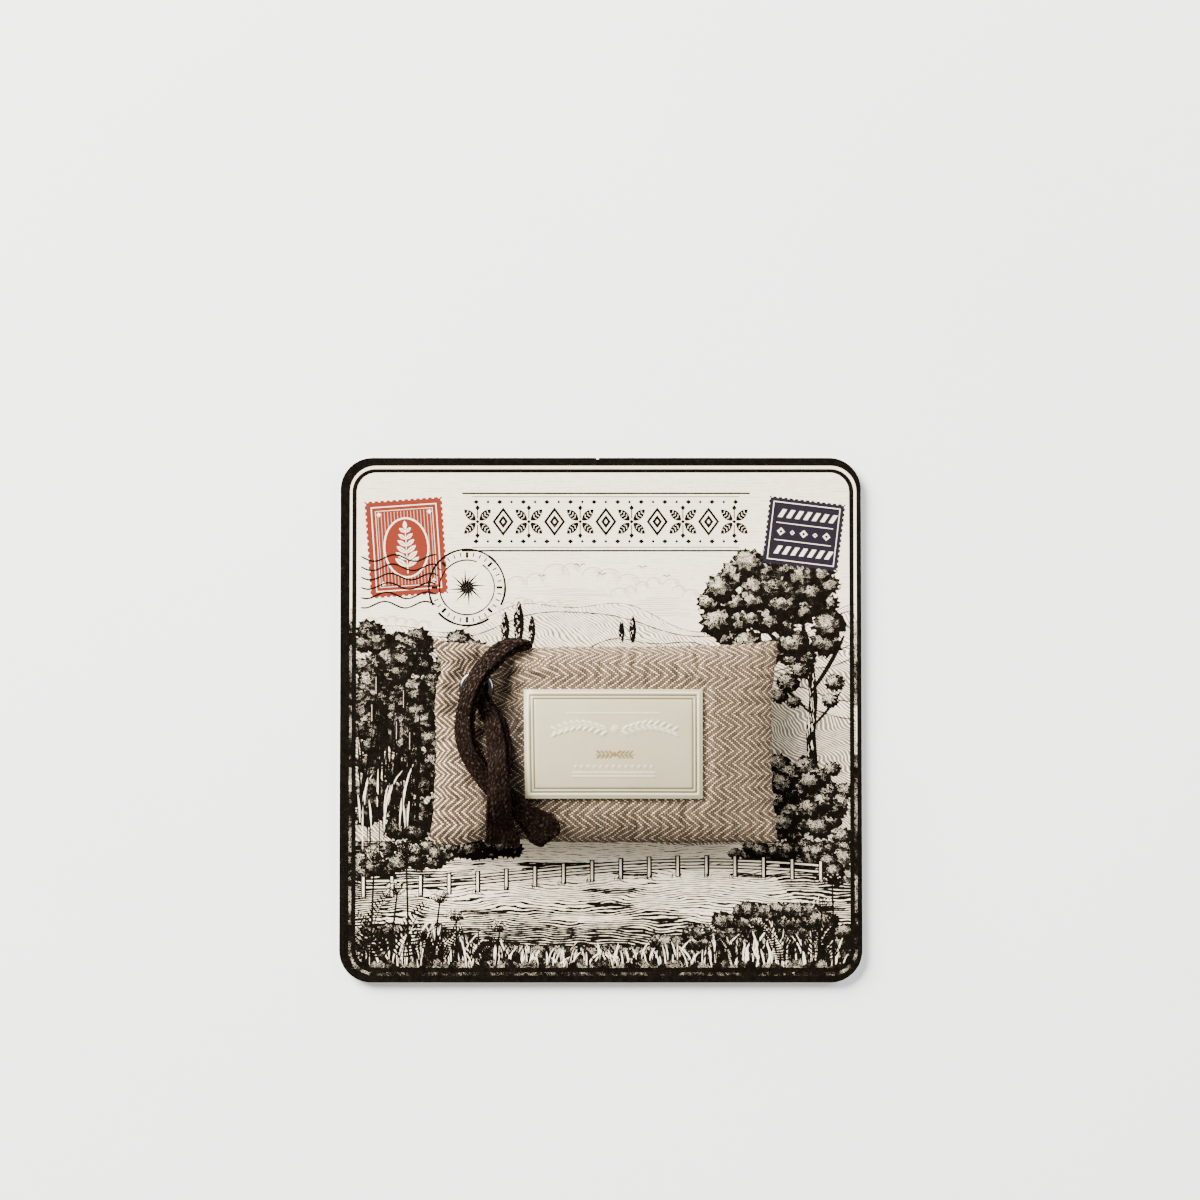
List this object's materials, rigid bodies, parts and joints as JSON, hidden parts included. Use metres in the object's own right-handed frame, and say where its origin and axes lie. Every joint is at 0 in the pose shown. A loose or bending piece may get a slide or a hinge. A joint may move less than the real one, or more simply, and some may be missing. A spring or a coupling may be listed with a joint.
{
  "type": "scented sachet",
  "caption": "Scented herringbone cloth pillow with an eyelet, a label and a doubled flat lace wrapped round it, held by foam pads on a square display card with round corners.",
  "frame": {"origin": "middle of the card's back face, on the surface that the card lies on", "axes": "+Z out of the printed face through the pillow, +Y towards the card's top edge, +X to the card's right as seen from the front"},
  "size_m": [0.15, 0.151, 0.0236],
  "materials": {
    "liner_paper": "matte",
    "grey_board": "matte",
    "printed_sheet": "satin",
    "foam": "matte",
    "herringbone_cloth": "matte",
    "pouch_cloth": "matte",
    "granules": "matte",
    "adhesive_film": "satin",
    "label_satin": "satin",
    "eyelet_metal": "satin",
    "waxed_lace": "satin"
  },
  "bodies": {
    "card": {"card_back_liner": "liner_paper", "card_board": "grey_board", "card_front_sheet": "printed_sheet", "foam_pad_left": "foam", "foam_pad_right": "foam"},
    "sachet": {"pillow_front_panel": "herringbone_cloth", "pillow_back_panel": "herringbone_cloth", "inner_pouch_front": "pouch_cloth", "inner_pouch_back": "pouch_cloth", "scented_fill": "granules", "label_adhesive": "adhesive_film", "label": "label_satin", "eyelet": "eyelet_metal", "eyelet_washer": "eyelet_metal", "lace_strand_upper": "waxed_lace", "lace_strand_lower": "waxed_lace", "lace_bight": "waxed_lace"}
  },
  "joints": [
    {"name": "sachet_lift", "type": "slide", "parent": "card", "child": "sachet", "axis": [0, 0, 1], "range_m": [0, 0.04]}
  ]
}
